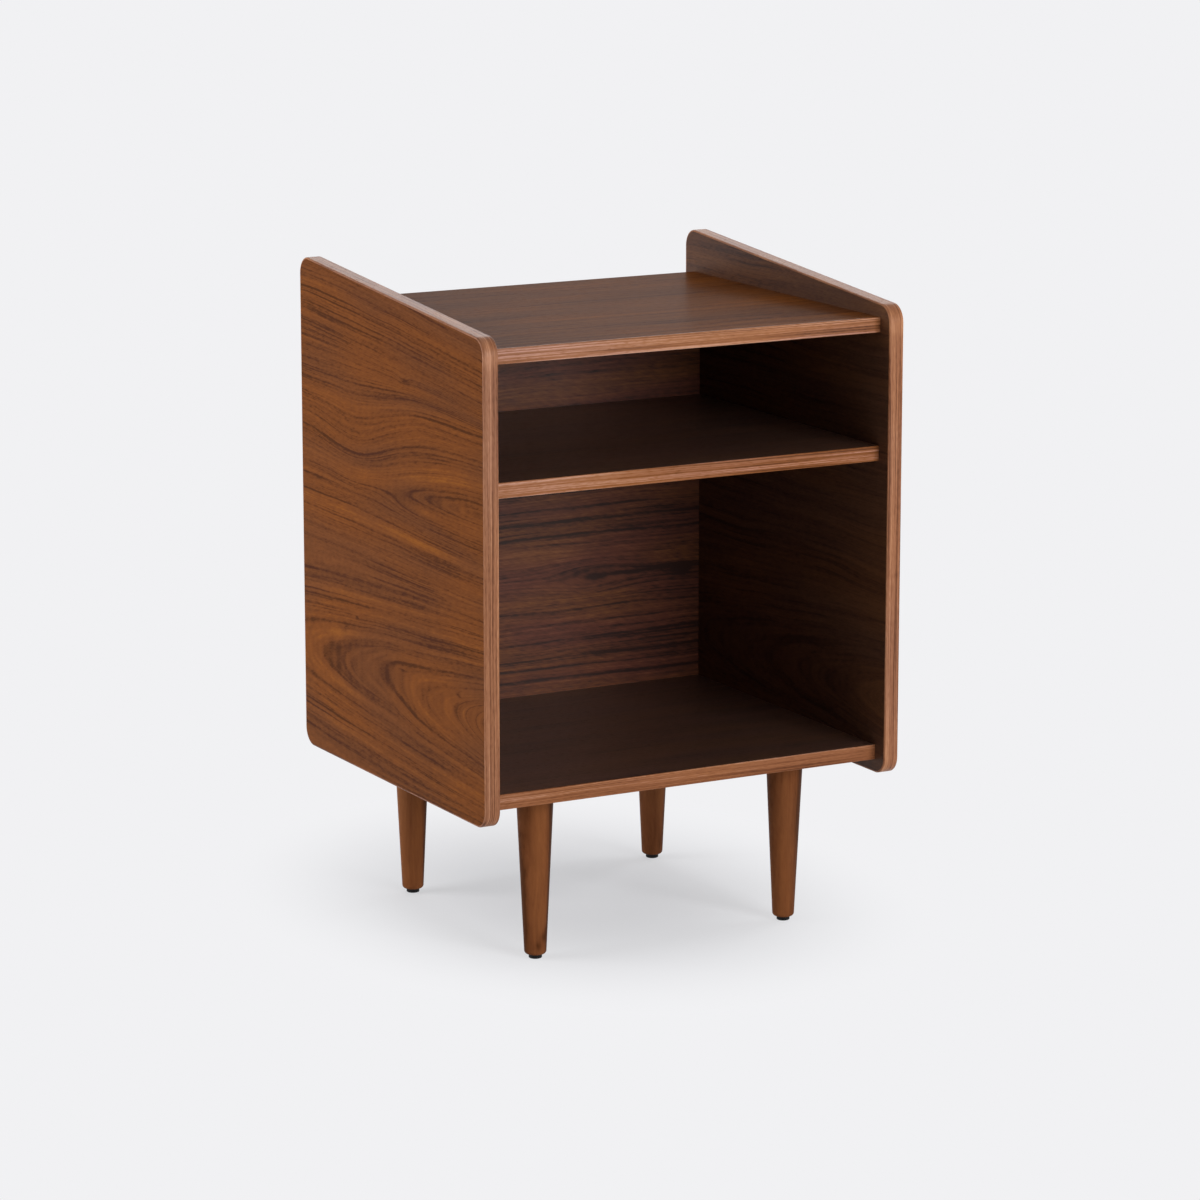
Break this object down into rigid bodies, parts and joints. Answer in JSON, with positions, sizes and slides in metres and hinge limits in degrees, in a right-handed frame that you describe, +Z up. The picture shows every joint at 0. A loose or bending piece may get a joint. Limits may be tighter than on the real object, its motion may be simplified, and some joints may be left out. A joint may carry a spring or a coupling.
{
  "type": "record cabinet",
  "caption": "Open record cabinet with rounded side panels, a recessed top for a turntable, a shelf above a tall record bay, and tapered round legs.",
  "frame": {"origin": "on the floor, under the middle of the cabinet's width and of its sides' depth", "axes": "+Z up, +X towards the cabinet's right seen from its front, -Y is the open front"},
  "size_m": [0.52, 0.455, 0.7412],
  "materials": {
    "side_veneer": "satin walnut-stained veneer, grain running front to back",
    "side_band": "satin striped edge band, grain along the edge",
    "panel_veneer": "satin walnut-stained veneer, grain running across",
    "panel_band": "satin striped edge band, grain along the edge",
    "back_veneer": "satin walnut-stained veneer, grain running across",
    "leg_wood": "satin stained solid wood, turned",
    "glide_plastic": "moulded black plastic on a steel nail",
    "zinc_alloy": "die-cast zinc alloy, nickel plated",
    "zinc_steel": "zinc-plated steel",
    "beech": "bare beech"
  },
  "bodies": {
    "root": {"back_panel": "back_veneer", "back_screw_left": "zinc_steel", "back_screw_right": "zinc_steel", "bottom_panel": "panel_veneer", "bottom_panel_edge_band": "panel_band", "cam_bolt_bottom_left_front": "zinc_steel", "cam_bolt_bottom_left_rear": "zinc_steel", "cam_bolt_bottom_right_front": "zinc_steel", "cam_bolt_bottom_right_rear": "zinc_steel", "cam_bolt_shelf_left_front": "zinc_steel", "cam_bolt_shelf_left_rear": "zinc_steel", "cam_bolt_shelf_right_front": "zinc_steel", "cam_bolt_shelf_right_rear": "zinc_steel", "cam_bolt_top_left_front": "zinc_steel", "cam_bolt_top_left_rear": "zinc_steel", "cam_bolt_top_right_front": "zinc_steel", "cam_bolt_top_right_rear": "zinc_steel", "cam_lock_bottom_left_front": "zinc_alloy", "cam_lock_bottom_left_rear": "zinc_alloy", "cam_lock_bottom_right_front": "zinc_alloy", "cam_lock_bottom_right_rear": "zinc_alloy", "cam_lock_shelf_left_front": "zinc_alloy", "cam_lock_shelf_left_rear": "zinc_alloy", "cam_lock_shelf_right_front": "zinc_alloy", "cam_lock_shelf_right_rear": "zinc_alloy", "cam_lock_top_left_front": "zinc_alloy", "cam_lock_top_left_rear": "zinc_alloy", "cam_lock_top_right_front": "zinc_alloy", "cam_lock_top_right_rear": "zinc_alloy", "dowel_bottom_left": "beech", "dowel_bottom_right": "beech", "dowel_shelf_left": "beech", "dowel_shelf_right": "beech", "dowel_top_left": "beech", "dowel_top_right": "beech", "glide_front_left": "glide_plastic", "glide_front_right": "glide_plastic", "glide_rear_left": "glide_plastic", "glide_rear_right": "glide_plastic", "hanger_bolt_front_left": "zinc_steel", "hanger_bolt_front_right": "zinc_steel", "hanger_bolt_rear_left": "zinc_steel", "hanger_bolt_rear_right": "zinc_steel", "leg_front_left": "leg_wood", "leg_front_right": "leg_wood", "leg_insert_front_left": "zinc_alloy", "leg_insert_front_right": "zinc_alloy", "leg_insert_rear_left": "zinc_alloy", "leg_insert_rear_right": "zinc_alloy", "leg_rear_left": "leg_wood", "leg_rear_right": "leg_wood", "middle_shelf": "panel_veneer", "middle_shelf_edge_band": "panel_band", "side_edge_band_left": "side_band", "side_edge_band_right": "side_band", "side_panel_left": "side_veneer", "side_panel_right": "side_veneer", "top_panel": "panel_veneer", "top_panel_edge_band": "panel_band"}
  },
  "joints": []
}
